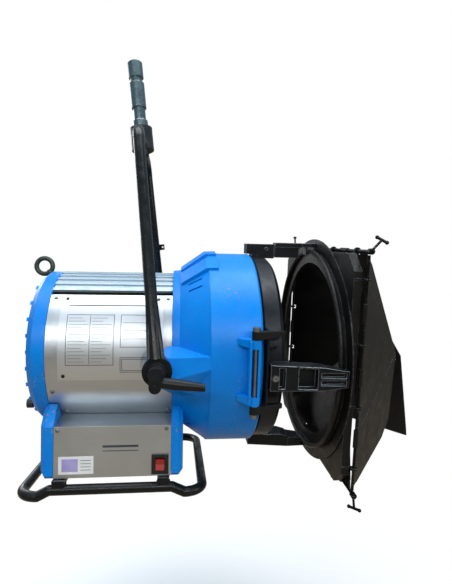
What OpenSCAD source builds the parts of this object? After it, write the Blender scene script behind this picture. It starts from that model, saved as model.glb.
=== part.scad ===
// Fresnel spotlight: drum-shaped lamp head in a tubular yoke, with a hinged lens door and a four-leaf barn door.
// Millimetres. +X is the beam, +Z is up, -Y is the side with the tilt lever, the label plate and the switch.
// The origin is the middle of the spigot's shoulder. Modules inside head() count from the optical axis instead,
// with X = 0 at the ridge where the front casting's cone meets its cylinder.

/* [Head] */
// Outside radius of the drum's side panels
drum_r = 135; // [133:0.5:136]
// Outside radius of the front casting and of its ridge
casting_r = 175; // [173:0.5:177]
// Rear end of the drum
drum_back = 258; // [254:1:262]
// Front end of the drum, behind the ridge
drum_front = 60; // [58:1:62]
// Front face of the front casting
casting_front = 81; // [79:0.5:82]
// Rear face of the rear cover's rim
cover_back = 288; // [284:1:292]
// Wall thickness of the castings
cast_wall = 5; // [4:0.5:6]

/* [Yoke] */
// Outside diameter of the yoke tube
yoke_tube_d = 18.5; // [18:0.5:20]
// Backward lean of the yoke against the head
yoke_lean = 6; // [4:0.5:8]
// Height of the crossbar above the pivots
yoke_height = 393.5; // [390:0.5:400]
// Half the distance between the leg axes at the pivots
yoke_foot_y = 211; // [210:0.5:213]
// Half the distance between the leg axes at the crossbar
yoke_top_y = 100; // [98:1:110]
// Radius of the yoke's flattened ends
yoke_end_r = 21.5; // [20:0.5:22]

/* [Spigot] */
// Diameter of the standard spigot
spigot_d = 28; // [28:1:28]
// Length of the spigot above its shoulder
spigot_len = 125; // [120:1:130]
// Diameter of the locking groove
groove_d = 22; // [20:1:24]

/* [Control box and foot frame] */
// Half width of the control box
box_half = 130; // [128:1:131]
// Underside of the control box below the optical axis
box_bottom = 197; // [194:1:198]
// Diameter of the foot frame tube
foot_d = 16; // [14:1:16]
// Half width of the foot frame between tube axes
foot_half = 132; // [130:1:134]

/* [Lens door] */
// Turn of the lens door and its hinge about the beam
door_clock = 8; // [7:0.5:9]
// Outside radius of the lens ring
lens_ring_r = 168.6; // [167:0.2:169]
// Front face of the lens ring
lens_ring_front = 116; // [114:1:117]
// Radius of the Fresnel lens
lens_r = 151; // [149:1:152]
// Number of steps on the lens
lens_steps = 14; // [10:1:18]

/* [Barn door] */
// Outside radius of the barn door's flange
flange_r = 210; // [208:1:211]
// Radius of the rim that the claws hold
rim_r = 187; // [186:0.5:187]
// Half the side of the square of hinge rods
rod_half = 192; // [191:1:194]
// Radius of a hinge rod
rod_r = 2.5; // [2:0.25:2.5]
// Thickness of a leaf
leaf_t = 1.6; // [1.2:0.2:2]
// Angle of the near leaf out of the ring's plane
near_open = 44; // [43:1:60]
// Angle of the far leaf out of the ring's plane
far_open = 50; // [48:1:60]
// Angle of the top leaf out of the ring's plane
top_open = 38; // [36:1:60]
// Angle of the bottom leaf out of the ring's plane
bottom_open = 20; // [15:1:20]

/* [Hidden] */
$fn = 96;
gap = 0.3;
pivot_x = -80;
pivot_z = -17;
shoulder_h = 432;
origin_x = pivot_x - shoulder_h * sin(yoke_lean);
origin_z = pivot_z + shoulder_h * cos(yoke_lean);
leg_slope = atan((yoke_foot_y - yoke_top_y) / yoke_height);
bend_r = 30;
bend_overlap = 2;
bend_turn = 90 - leg_slope;
bend_reach = bend_r * tan(bend_turn / 2);
flare_top = 110;
leg_start = 17;
socket_r = 21;
socket_low = 388.5;
tail_r = 11;
tail_low = 407;
bolt_h = 420;
end_in = 199;
end_out = 211;
stud_r = 8;
boss_face = 192;
boss_r = 22;
washer_r = 13;
liner_r = 128;
skin_t = 1.6;
panel_top = 43;
panel_low = -54;
box_top = 116;
box_back = 258;
box_end_t = 14;
foot_z = -214;
foot_front = -8;
foot_back = -297;
foot_bend = 30;
foot_drop = 9;
level_front = -58;
level_back = -249;
hinge_x = 65;
hinge_y = -189.5;
hinge_z = 3;
hinge_half = 51;
lug_h = 13.5;
pin_r = 3;
barn_drop = 4;
rim_x = 199;
bead_r = 4;
flange_x = 207;
flange_t = 2;
rod_x = 228;
knuckle_r = 4;
collar_r = 5.5;
rod_end = 186.5;
side = rod_half - 10;
tip = rod_half - 6;
claw_back = 88;
claw_front = 206;
focus_y = -60;
focus_z = -95;
spindle_r = 4;
rail_y = 45;
rail_z = -85;
rail_r = 5;
fit = 0.05;
catch_x = 52;
catch_y = 186;
catch_turn = 28;
eye_x = -300;
eye_z = 146;
blue = "dodgerblue";
black = [0.10, 0.10, 0.11];

// ---- frames ----

// The head's frame: origin on the optical axis at the casting's ridge.
module head() {
    translate([-origin_x, 0, -origin_z]) children();
}

// The yoke's frame: origin on the tilt axis, Z along the leaning yoke.
module yoke_frame() {
    head() translate([pivot_x, 0, pivot_z]) rotate([0, -yoke_lean, 0]) children();
}

// The lens door's frame: the head's frame turned about the beam.
module door_frame() {
    head() rotate([door_clock, 0, 0]) children();
}

// The barn door's frame: the lens door's frame, lowered to the rim's centre.
module barn_frame() {
    door_frame() translate([0, 0, -barn_drop]) children();
}

// ---- shared shapes ----

module xcyl(r, x0, x1) {
    translate([x0, 0, 0]) rotate([0, 90, 0]) cylinder(r = r, h = x1 - x0);
}

module ycyl(r, y0, y1) {
    translate([0, y0, 0]) rotate([-90, 0, 0]) cylinder(r = r, h = y1 - y0);
}

// A box given by its lowest and highest corners.
module block(low, high) {
    translate(low) cube(high - low);
}

// A solid of revolution about the beam from a profile of [x, radius] points.
module revolve_x() {
    rotate([0, 90, 0]) rotate_extrude() mirror([1, -1, 0]) children();
}

// A slice of an annulus round the beam: near side is 0 degrees, top is 90.
module arc_skin(r_out, t, x0, x1, a0, a1) {
    rotate([0, 90, 0]) rotate([0, 0, 180]) translate([0, 0, x0])
        rotate([0, 0, 90 - a0]) mirror([0, 1, 0])
        rotate_extrude(angle = a1 - a0) translate([r_out - t, 0]) square([t, x1 - x0]);
}

// ---- yoke and spigot ----

// One leg and its bend. The bend is a hair thicker than the straight tubes, which reach a little way into it.
module yoke_leg(r) {
    leg_len = yoke_height / cos(leg_slope) - bend_reach - leg_start;
    translate([0, yoke_foot_y, 0]) rotate([leg_slope, 0, 0]) translate([0, 0, leg_start])
        cylinder(r = r, h = leg_len + bend_overlap);
    translate([0, yoke_top_y - bend_reach, yoke_height - bend_r]) rotate([90, 0, 90])
        rotate([0, 0, leg_slope]) rotate_extrude(angle = bend_turn)
            translate([bend_r, 0]) circle(r = r + 0.3);
}

module yoke_path(r) {
    yoke_leg(r);
    mirror([0, 1, 0]) yoke_leg(r);
    half_bar = yoke_top_y - bend_reach + bend_overlap;
    translate([0, 0, yoke_height]) ycyl(r, -half_bar, half_bar);
}

// Flattened foot of a leg, widening from the tube to the drilled end.
module yoke_flare() {
    half_width = 12.5;
    hull() {
        translate([0, yoke_foot_y, 0]) rotate([leg_slope, 0, 0]) translate([0, 0, flare_top])
            cylinder(r = yoke_tube_d / 2 - 0.3, h = 1, $fn = 32);
        block([-half_width, end_in + 1.5, 15], [half_width, end_out - 0.5, 17]);
    }
}

module yoke_end() {
    difference() {
        ycyl(yoke_end_r, end_in, end_out);
        ycyl(stud_r + fit, end_in - 1, end_out + 1);
    }
}

module yoke_tube() {
    color(black) yoke_frame() {
        yoke_path(yoke_tube_d / 2);
        for (flip = [0, 1]) mirror([0, flip, 0]) {
            yoke_end();
            yoke_flare();
        }
    }
}

module spigot_socket() {
    color("dimgray") yoke_frame() difference() {
        translate([0, 0, socket_low]) cylinder(r = socket_r, h = shoulder_h - socket_low - 1);
        translate([0, 0, yoke_height]) ycyl(yoke_tube_d / 2 + fit, -30, 30);
        translate([0, 0, tail_low - 1]) cylinder(r = tail_r + fit, h = 40);
        translate([0, 0, bolt_h]) xcyl(4.1, 0, socket_r + 1);
    }
}

module spigot() {
    neck_d = 22.5;
    collar_len = 12.5;
    neck_len = 25;
    groove_low = 84.5;
    groove_high = 95;
    color("silver") yoke_frame() translate([0, 0, shoulder_h]) {
        rotate_extrude() polygon([
            [0, tail_low - shoulder_h], [tail_r, tail_low - shoulder_h], [tail_r, 0],
            [spigot_d / 2, 0], [spigot_d / 2, collar_len], [neck_d / 2, collar_len + 2],
            [neck_d / 2, collar_len + neck_len], [spigot_d / 2, collar_len + neck_len],
            [spigot_d / 2, groove_low], [groove_d / 2, groove_low + 1.5], [groove_d / 2, groove_high - 1.5],
            [spigot_d / 2, groove_high], [spigot_d / 2, spigot_len - 2],
            [spigot_d / 2 - 2, spigot_len], [0, spigot_len]
        ]);
    }
}

// Grub screw that nips the spigot's tail, with a hexagon socket.
module spigot_bolt() {
    color("gray") yoke_frame() translate([0, 0, bolt_h]) difference() {
        xcyl(4, tail_r + 0.2, socket_r - 1);
        rotate([0, 90, 0]) translate([0, 0, socket_r - 5]) cylinder(r = 2.3, h = 10, $fn = 6);
    }
}

module cable_clip() {
    clip_at = 224;
    color("dimgray") yoke_frame() translate([0, yoke_foot_y, 0]) rotate([leg_slope, 0, 0])
        translate([0, 0, clip_at]) difference() {
            union() {
                cylinder(r = yoke_tube_d / 2 + 3, h = 12);
                block([10, -3, 0], [20, 3, 12]);
            }
            translate([0, 0, -1]) cylinder(r = yoke_tube_d / 2 + fit, h = 14);
            translate([16, -5, 6]) rotate([-90, 0, 0]) cylinder(r = 2, h = 10);
        }
}

// ---- pivots ----

module pivot_frame() {
    head() translate([pivot_x, 0, pivot_z]) children();
}

module pivot_studs() {
    color("silver") pivot_frame() {
        mirror([0, 1, 0]) ycyl(stud_r, 172.1, 234);
        ycyl(stud_r, 172.1, 213);
        translate([0, 213, 0]) rotate([-90, 0, 0]) cylinder(r = 13, h = 9, $fn = 6);
        ycyl(9, 222, 225);
    }
}

module friction_washers() {
    color("saddlebrown") pivot_frame() for (side = [1, -1]) scale([1, side, 1]) difference() {
        ycyl(washer_r, boss_face + 0.1, end_in - 0.1);
        ycyl(stud_r + fit, boss_face - 1, end_in + 1);
    }
}

lever_in = 213;

module tilt_lever() {
    drop = 17;
    tip_x = 64;
    color(black) pivot_frame() mirror([0, 1, 0]) difference() {
        union() {
            ycyl(14, lever_in, lever_in + 8);
            ycyl(11, lever_in + 8, 236);
            // oblong boss from the stud down to the clamp bolt
            hull() {
                ycyl(10, 222, 237, $fn = 32);
                translate([-1.5, 0, -drop]) ycyl(8.5, 222, 236, $fn = 32);
            }
            translate([-1.5, 0, -drop]) ycyl(4.2, 236, 240);
            hull() {
                translate([6, 229, -11]) sphere(r = 7.5, $fn = 24);
                translate([26, 230, -13.5]) sphere(r = 8, $fn = 24);
            }
            hull() {
                translate([26, 230, -13.5]) sphere(r = 8, $fn = 24);
                translate([tip_x, 230, -drop - 1.5]) rotate([0, 90, 0]) cylinder(r = 5.5, h = 3, $fn = 24);
            }
        }
        ycyl(stud_r + fit, lever_in - 1, 234.2);
    }
}

// ---- castings ----

// Trunnion arm on one side: a gusset from the pivot's boss forward to the ridge, with a level crease on top.
module trunnion_arm() {
    crease_z = -1;
    difference() {
        union() {
            translate([pivot_x, 0, pivot_z]) ycyl(boss_r, 140, boss_face);
            hull() {
                block([pivot_x - 14, 130, pivot_z - 18], [pivot_x + 16, boss_face - 5, crease_z]);
                block([-4, 150, -20], [2, casting_r - 1.2, crease_z]);
                block([-62, 120, -66], [-52, 126, -60]);
                block([-62, 130, 8], [-52, 138.5, 12]);
                block([-27, 136, -66], [-22, 141, -60]);
            }
        }
        xcyl(drum_r + 3.5, -140, -drum_front);
        casting_cavity();
        translate([pivot_x, 0, pivot_z]) ycyl(stud_r + fit, 172, 240);
    }
}

// Space inside the front casting's cone.
module casting_cavity() {
    inner = casting_r - cast_wall;
    revolve_x() polygon([
        [-drum_front - 1, 0], [-drum_front - 1, drum_r + 3], [-46, drum_r + 3],
        [4, inner + 0.4], [20, inner + 0.4], [20, 0]
    ]);
}

// Raised louvre hood over a slot on the cone.
module vent_hood(turn) {
    half = 18;
    rotate([turn, 0, 0]) translate([0, half, 0]) rotate([90, 0, 0]) linear_extrude(height = 2 * half)
        polygon([[-46, 143.5], [-46, 147.5], [-4, 177.5], [16, 178.5], [16, 171.5], [2, 171.5], [-37, 143.5]]);
}

module hinge_lug(z0, z1) {
    rotate([door_clock, 0, 0]) difference() {
        hull() {
            translate([hinge_x, hinge_y, z0]) cylinder(r = 7, h = z1 - z0, $fn = 32);
            block([40, -173, z0 + 2], [hinge_x + 6.5, -168, z1 - 2]);
        }
        translate([hinge_x, hinge_y, z0 - 1]) cylinder(r = pin_r + fit, h = z1 - z0 + 2);
    }
}

// Two ears and the pin that the door catch turns on.
module catch_lugs() {
    rotate([door_clock + catch_turn, 0, 0]) {
        for (low = [14.5, -20.5]) block([catch_x - 7, 168, low], [catch_x + 7, catch_y + 6, low + 6]);
        translate([catch_x, catch_y, -15]) cylinder(r = 3, h = 30);
    }
}

module front_casting() {
    inner = casting_r - cast_wall;
    color(blue) head() {
        difference() {
            union() {
                revolve_x() polygon([
                    [-drum_front, drum_r + 1], [-drum_front, drum_r + 6], [-48, drum_r + 7],
                    [-3, casting_r - 3], [0, casting_r], [casting_front - 3, casting_r],
                    [casting_front, casting_r - 3], [casting_front, inner],
                    [4, inner], [-45, drum_r + 1]
                ]);
                revolve_x() polygon([
                    [-drum_front, liner_r - 8], [-drum_front, drum_r + 2],
                    [-drum_front + 5, drum_r + 2], [-drum_front + 5, liner_r - 8]
                ]);
                for (turn = [-33, -14, 14, 33]) vent_hood(turn);
            }
            // mouths of the hoods, and the louvre slots beside them
            for (turn = [-33, -14, 14, 33]) rotate([turn, 0, 0]) {
                block([2, -15, 160], [14, -2, 176.5]);
                block([2, 2, 160], [14, 15, 176.5]);
            }
            for (turn = [-49, -43, 43, 49]) rotate([turn, 0, 0]) block([-34, -1.6, 130], [-12, 1.6, 176]);
            xcyl(liner_r - 8, -70, 20);
            xcyl(drum_r + 6, -44, 0);
        }
        trunnion_arm();
        mirror([0, 1, 0]) trunnion_arm();
        hinge_lug(hinge_z - hinge_half, hinge_z - hinge_half + lug_h);
        hinge_lug(hinge_z + hinge_half - lug_h, hinge_z + hinge_half);
        // rails on both sides of the pin
        rotate([door_clock, 0, 0]) for (x = [hinge_x - 10, hinge_x + 3.2]) difference() {
            block([x, hinge_y - 5, hinge_z - hinge_half + 2], [x + 3.6, -160, hinge_z + hinge_half - 2]);
            xcyl(casting_r - 3, 0, casting_front + 1);
        }
        catch_lugs();
    }
}

module rear_cover() {
    fin_count = 9;
    fin_pitch = 26;
    fin_proud = 3.5;
    back = cover_back;
    color(blue) head() {
        difference() {
            union() {
                revolve_x() polygon([
                    [-drum_back, drum_r - 6], [-drum_back, drum_r + 1], [-back + 10, drum_r + 1],
                    [-back, drum_r - 8], [-back - 2, drum_r - 30], [-back - 2, 0], [-back + 3, 0],
                    [-back + 3, drum_r - 30], [-back + 8, drum_r - 8], [-drum_back - 4, drum_r - 6]
                ]);
                // cooling fins across the back
                for (i = [0 : fin_count - 1]) intersection() {
                    translate([0, 0, (i - (fin_count - 1) / 2) * fin_pitch])
                        block([-back - fin_proud, -120, -3], [-back + 1, 120, 3]);
                    xcyl(drum_r - 9, -back - fin_proud, -back + 2);
                }
                // lug under the lifting eye
                hull() {
                    block([-back - 4, -8, 118], [-back + 10, 8, 125]);
                    block([-back - 1, -7, 128], [-back + 4, 7, 130]);
                }
            }
            translate([0, focus_y, focus_z]) xcyl(spindle_r + fit, -400, -200);
            translate([eye_x + 12, 0, 100]) cylinder(r = 4 + fit, h = 60);
            // flat seat under the lifting eye
            translate([eye_x + 12, 0, 130]) cylinder(r = 7, h = 20);
        }
    }
}

module lifting_eye() {
    color("silver") head() {
        translate([eye_x + 12, 0, 118]) cylinder(r = 4, h = 16);
        translate([eye_x + 12, 0, 130.05]) cylinder(r = 6.4, h = 5);
        hull() {
            translate([eye_x + 12, 0, 133]) cylinder(r = 6, h = 2, $fn = 32);
            translate([eye_x + 8, 0, 136]) sphere(r = 4, $fn = 24);
        }
        translate([eye_x, 0, eye_z]) rotate([90, 0, 0]) rotate_extrude() translate([14.5, 0]) circle(r = 4.3);
    }
}

// ---- drum ----

module drum_liner() {
    color("dimgray") head() difference() {
        xcyl(liner_r, -drum_back + 1, -drum_front - gap);
        xcyl(liner_r - skin_t, -drum_back, -drum_front + 1);
    }
}

module top_vent() {
    rib_count = 13;
    rib_half = 1.3;
    first = panel_top + 5.5;
    step = (180 - 2 * first) / (rib_count - 1);
    color("lightgray") head() {
        arc_skin(drum_r - 1, 2.5, -drum_back + gap, -drum_front - gap,
            first - rib_half, 180 - first + rib_half);
        for (i = [0 : rib_count - 1])
            arc_skin(drum_r + 1.5, 3, -drum_back + gap, -drum_front - gap,
                first + i * step - rib_half, first + i * step + rib_half);
    }
}

module side_panel() {
    arc_skin(drum_r, skin_t, -drum_back + gap, -drum_front - gap, panel_low, panel_top);
}

module side_panel_near() {
    color("silver") head() side_panel();
}

module side_panel_far() {
    color("silver") head() mirror([0, 1, 0]) side_panel();
}

plate_r = drum_r + 1.2;
plate_back = -238;
plate_front = -75;
plate_low = -18.5;
plate_high = 42;

module label_plate() {
    color("lightgray") head() difference() {
        arc_skin(plate_r, 1.1, plate_back, plate_front, plate_low, plate_high);
        translate([pivot_x, -drum_r, pivot_z]) ycyl(boss_r + 8, -80, 80);
    }
}

// Round heads on the drum's surface at [x, angle] places.
module drum_heads(places, r_at, head_r, head_h) {
    for (p = places) rotate([-p[1], 0, 0]) translate([p[0], -r_at, 0]) rotate([90, 0, 0])
        cylinder(r1 = head_r, r2 = head_r * 0.7, h = head_h);
}

module label_rivets() {
    color("dimgray") head() drum_heads(
        [for (x = [plate_back + 8, plate_front - 8], a = [plate_low + 3, plate_high - 3])
            if (x < -100 || a > 0) [x, a]],
        plate_r + 0.05, 3, 1.4);
}

module panel_screws() {
    color("silver") head() for (side = [1, -1]) scale([1, side, 1]) {
        drum_heads(
            [
                [-drum_back + 9, panel_top - 3], [-drum_back + 9, -28], [-drum_back + 24, panel_low + 5],
                [-drum_front - 8, panel_top - 3], [-drum_front - 8, panel_low + 5]
            ],
            drum_r + fit, 3.4, 2);
        // two on the control box's cover
        for (x = [-box_back + 20, -drum_front - 7.5])
            translate([x, -box_half - fit, -box_top - 6]) rotate([90, 0, 0])
                cylinder(r1 = 3.4, r2 = 2.4, h = 2);
    }
}

// ---- control box ----

// Half outline of the control box's sheet, seen along the beam, at an inset.
module box_side(inset) {
    polygon([
        [-78 + inset, -109.5 - inset], [-box_half + inset, -box_top - inset],
        [-box_half + inset, -box_bottom], [-box_half + inset + skin_t, -box_bottom],
        [-box_half + inset + skin_t, -box_top - inset - skin_t], [-78 + inset, -109.5 - inset - skin_t]
    ]);
}

module along_x(x0, x1) {
    translate([x0, 0, 0]) rotate([90, 0, 90]) linear_extrude(height = x1 - x0) children();
}

module control_cover(side) {
    scale([1, side, 1]) along_x(-box_back + box_end_t + gap, -drum_front - gap) box_side(0);
}

switch_x = -77.5;
switch_z = -178;
bezel_w = 27;
bezel_h = 31;

module control_cover_near() {
    color("silver") head() difference() {
        control_cover(1);
        block([switch_x - bezel_w / 2 + 2, -box_half - 5, switch_z - bezel_h / 2 + 2],
            [switch_x + bezel_w / 2 - 2, -box_half + 5, switch_z + bezel_h / 2 - 2]);
    }
}

inlet_x = -180;
inlet_z = -160;
inlet_r = 20;

module control_cover_far() {
    color("silver") head() difference() {
        control_cover(-1);
        translate([inlet_x, 0, inlet_z]) ycyl(inlet_r + gap, box_half - 8, box_half + 8);
    }
}

// Outline of the control box's end castings at an inset, with a web up to the drum.
module end_outline(inset) {
    edge = box_half + 1 - inset;
    low = -box_bottom - 1 + inset;
    polygon([
        [-edge, -box_top], [-edge, low + 5], [-edge + 5, low], [edge - 5, low], [edge, low + 5],
        [edge, -box_top], [116 - inset, -96], [105 - inset, -84], [-105 + inset, -84], [-116 + inset, -96]
    ]);
}

// End casting from its inner face to its outer face, chamfered all round on the outside.
module box_end(inner_x, outer_x, bevel) {
    away = outer_x > inner_x ? 1 : -1;
    difference() {
        union() {
            along_x(min(inner_x, outer_x - away * bevel), max(inner_x, outer_x - away * bevel)) end_outline(0);
            hull() {
                along_x(outer_x - away * bevel - 0.5, outer_x - away * bevel) end_outline(0);
                along_x(outer_x - 0.5, outer_x) end_outline(bevel);
            }
        }
        xcyl(drum_r + 1.6, -300, 0);
    }
}

module control_end_rear() {
    color(blue) head() box_end(-box_back + box_end_t, -box_back - 6, 7);
}

module control_end_front() {
    color(blue) head() difference() {
        box_end(-drum_front, -drum_front + 19, 7);
        revolve_x() polygon([
            [-drum_front - 1, 0], [-drum_front - 1, drum_r + 6.3], [-48, drum_r + 7.3],
            [-20, drum_r + 27], [-20, 0]
        ]);
    }
}

module control_floor() {
    color("gray") head() block(
        [-box_back + box_end_t + gap, -box_half + skin_t + gap, -box_bottom],
        [-drum_front - gap, box_half - skin_t - gap, -box_bottom + 2]);
}

// The side bars sit higher between the clips than at the corners, so the frame stands on its ends.
module foot_frame() {
    r = foot_d / 2;
    x0 = foot_back + foot_bend;
    x1 = foot_front - foot_bend;
    y1 = foot_half - foot_bend;
    color(black) head() translate([0, 0, foot_z]) {
        for (side = [1, -1]) {
            translate([0, side * foot_half, 0]) xcyl(r, level_back, level_front);
            for (end = [[level_front, x1], [level_back, x0]]) hull() {
                translate([end[0], side * foot_half, 0]) sphere(r = r, $fn = 32);
                translate([end[1], side * foot_half, -foot_drop]) sphere(r = r, $fn = 32);
            }
        }
        translate([0, 0, -foot_drop]) {
            for (side = [1, -1],
                    end = [[x1, side * y1, side > 0 ? 0 : 270], [x0, side * y1, side > 0 ? 90 : 180]])
                translate([end[0], end[1], 0]) rotate([0, 0, end[2]])
                    rotate_extrude(angle = 90) translate([foot_bend, 0]) circle(r = r);
            translate([foot_front, 0, 0]) ycyl(r, -y1, y1);
            translate([foot_back, 0, 0]) ycyl(r, -y1, y1);
        }
    }
}

// Saddles welded on the side bars, under the control box.
module frame_clips() {
    half = 9.5;
    color(black) head() for (x = [-234.5, -72], side = [1, -1]) scale([1, side, 1]) difference() {
        block([x - half, foot_half - 30, foot_z + 2], [x + half, foot_half + 6, -box_bottom - 1.1]);
        translate([0, foot_half, foot_z]) xcyl(foot_d / 2 + fit, x - 10, x + 10);
        block([x - 10, foot_half - 31, foot_z], [x + 10, foot_half - 10, foot_z + 9]);
    }
}

module switch_bezel() {
    color("gray") head() translate([switch_x, -box_half, switch_z]) difference() {
        union() {
            block([-bezel_w / 2, -3, -bezel_h / 2], [bezel_w / 2, -0.1, bezel_h / 2]);
            block([-bezel_w / 2 + 2.3, -1, -bezel_h / 2 + 2.3], [bezel_w / 2 - 2.3, 18, bezel_h / 2 - 2.3]);
        }
        block([-bezel_w / 2 + 6, -4, -bezel_h / 2 + 5], [bezel_w / 2 - 6, 16, bezel_h / 2 - 5]);
        translate([0, 4, 0]) rotate([0, 90, 0]) cylinder(r = 1.55, h = bezel_w + 4, center = true);
    }
}

module switch_rocker() {
    w = bezel_w - 13;
    h = bezel_h - 14;
    color("red") head() translate([switch_x, -box_half + 4, switch_z]) {
        difference() {
            translate([-w / 2, 0, 0]) rotate([90, 0, 90]) linear_extrude(height = w)
                polygon([[-10, -h / 2], [-7.5, 0], [-10, h / 2], [2, h / 2 - 1], [4, 0], [2, -h / 2 + 1]]);
        }
        rotate([0, 90, 0]) cylinder(r = 1.5, h = bezel_w - 6, center = true);
    }
}

module power_inlet() {
    color(black) head() translate([inlet_x, 0, inlet_z]) difference() {
        union() {
            ycyl(inlet_r, box_half - 20, box_half + 10);
            ycyl(inlet_r + 5, box_half + 0.1, box_half + 4);
        }
        ycyl(inlet_r - 3, box_half, box_half + 11);
        for (a = [0 : 60 : 300]) rotate([0, a, 0]) translate([9, 0, 0]) ycyl(2, box_half - 8, box_half + 2);
    }
}

module ignitor_box() {
    color("dimgray") head() {
        block([-230, -60, -box_bottom + 2.1], [-120, 60, -box_bottom + 40]);
        for (x = [-220, -130], y = [-50, 50]) translate([x, y, -box_bottom + 40]) cylinder(r = 4, h = 5);
    }
}

// ---- lamp, reflector and focus drive ----

module guide_rods() {
    color("silver") head() for (side = [1, -1]) translate([0, side * rail_y, rail_z])
        xcyl(rail_r, -cover_back + 3.2, -drum_front + 60);
}

module focus_knob() {
    color(black) head() translate([0, focus_y, focus_z]) difference() {
        union() {
            xcyl(spindle_r, -cover_back - 12, -30);
            xcyl(8, -cover_back - 19, -cover_back - 9);
            xcyl(5, -cover_back - 9, -cover_back - 8.5);
        }
        for (a = [0 : 30 : 330]) rotate([a, 0, 0]) translate([0, 8.6, 0])
            xcyl(1.1, -cover_back - 20, -cover_back - 10);
    }
}

carriage_x = -150;

module lamp_carriage() {
    color("gray") head() difference() {
        union() {
            block([carriage_x - 35, -60, rail_z - 9], [carriage_x + 35, 60, rail_z + 9]);
            block([carriage_x - 12, focus_y - 9, focus_z - 9], [carriage_x + 12, focus_y + 14, rail_z]);
            block([carriage_x - 62.5, -12, rail_z + 2], [carriage_x - 34, 12, rail_z + 9]);
            block([carriage_x - 62.5, -12, rail_z + 2], [carriage_x - 58.5, 12, 8]);
        }
        for (side = [1, -1]) translate([0, side * rail_y, rail_z])
            xcyl(rail_r + fit, carriage_x - 60, carriage_x + 60);
        translate([0, focus_y, focus_z]) xcyl(spindle_r + fit, carriage_x - 60, carriage_x + 60);
    }
}

module lamp_holder() {
    color("white") head() {
        difference() {
            translate([carriage_x, 0, rail_z + 9.1]) cylinder(r = 17, h = 22);
            translate([carriage_x, 0, rail_z + 9.1 + 10]) cylinder(r = 9 + fit, h = 20);
        }
    }
}

module lamp() {
    color("lightyellow") head() translate([carriage_x, 0, 0]) {
        translate([0, 0, -65.7]) cylinder(r = 9, h = 30);
        rotate_extrude() polygon(concat(
            [[0, -36], [7, -36]],
            [for (a = [-60 : 15 : 60]) [20 * cos(a), 26 * sin(a) * 1.0]],
            [[5, 30], [4, 46], [0, 48]]
        ));
    }
}

module reflector() {
    r = 62;
    color("silver") head() translate([carriage_x + 4, 0, 0]) difference() {
        rotate([0, 90, 0]) rotate_extrude() intersection() {
            difference() {
                circle(r = r);
                circle(r = r - 2);
            }
            translate([0, -r]) square([r, r - 24]);
        }
    }
}

// ---- lens door ----

module lens_ring() {
    r = lens_ring_r;
    back = casting_front + gap;
    front = lens_ring_front;
    color(black) door_frame() {
        difference() {
            revolve_x() polygon([
                [back, lens_r - 14], [back, r - 4], [back + 4, r], [front - 6, r], [front, r - 6],
                [front, lens_r - 10], [front - 4, lens_r - 12], [front - 4, lens_r - 8],
                [back + 6, lens_r + 1], [back + 6, lens_r - 14]
            ]);
            for (a = [0 : 60 : 300]) rotate([a + 30, 0, 0]) translate([0, 0, lens_r + 8])
                xcyl(2, back + 20, front + 1);
        }
    }
}

// Lens with a flat back and a stepped front: equal steps, each a shallow wedge.
module fresnel_lens() {
    seat = casting_front + gap + 6.2;
    flat = 5;
    w = (lens_r - 6) / lens_steps;
    color("lightcyan") door_frame() translate([seat, 0, 0]) revolve_x() polygon(concat(
        [[0, 0], [0, lens_r - 1], [flat - 1.5, lens_r - 1], [flat, lens_r - 4]],
        [for (i = [lens_steps - 1 : -1 : 1]) each [[flat, (i + 1) * w], [flat + 4.5, i * w + 0.6]]],
        [[flat + 0.5, w], [flat + 4.5, 0]]
    ));
}

module lens_clips() {
    foot = casting_front + gap + 11.3;
    color("silver") door_frame() for (a = [45 : 90 : 315]) rotate([a, 0, 0]) {
        block([foot, -8, lens_r - 5.8], [foot + 2.4, 8, lens_r - 2.6]);
        block([foot + 1.8, -8, lens_r - 9], [foot + 3.4, 8, lens_r - 3]);
        block([foot + 1.8, -8, lens_r - 9], [lens_ring_front - 5, 8, lens_r - 8]);
    }
}

// Ears on the lens ring that reach back to the hinge pin.
module hinge_ear(z0, z1) {
    difference() {
        hull() {
            translate([hinge_x, hinge_y, z0]) cylinder(r = 7, h = z1 - z0, $fn = 32);
            block([casting_front + 2, hinge_y + 13, z0 + 3], [lens_ring_front - 4, hinge_y + 18, z1 - 3]);
        }
        translate([hinge_x, hinge_y, z0 - 1]) cylinder(r = pin_r + fit, h = z1 - z0 + 2);
        xcyl(lens_ring_r + 0.1, casting_front + gap - 2, 140);
        xcyl(casting_r + 0.5, 0, casting_front + gap);
    }
}

module hinge_ears() {
    reach = hinge_half + 13;
    color(black) door_frame() {
        hinge_ear(hinge_z + hinge_half + gap, hinge_z + reach);
        hinge_ear(hinge_z - reach, hinge_z - hinge_half - gap);
        difference() {
            union() {
                block([casting_front + 3, hinge_y + 6, hinge_z - reach],
                    [claw_back - 1.2, hinge_y + 100, hinge_z + reach]);
                // small ribs along the strip
                for (z = [hinge_z - 33, hinge_z + 33]) translate([0, 0, z]) linear_extrude(height = 3)
                    polygon([[casting_front + 3, -165], [casting_front + 3, hinge_y + 8], [102, -168]]);
            }
            xcyl(lens_ring_r + 0.1, casting_front, 140);
        }
    }
}

module hinge_pin() {
    reach = hinge_half + 13;
    color("silver") door_frame() translate([hinge_x, hinge_y, hinge_z]) {
        translate([0, 0, -reach - 4]) cylinder(r = pin_r, h = 2 * reach + 8);
        translate([0, 0, reach + gap]) cylinder(r = 6, h = 6);
        translate([0, 0, -reach - gap - 6]) cylinder(r = 6, h = 6);
    }
}

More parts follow.
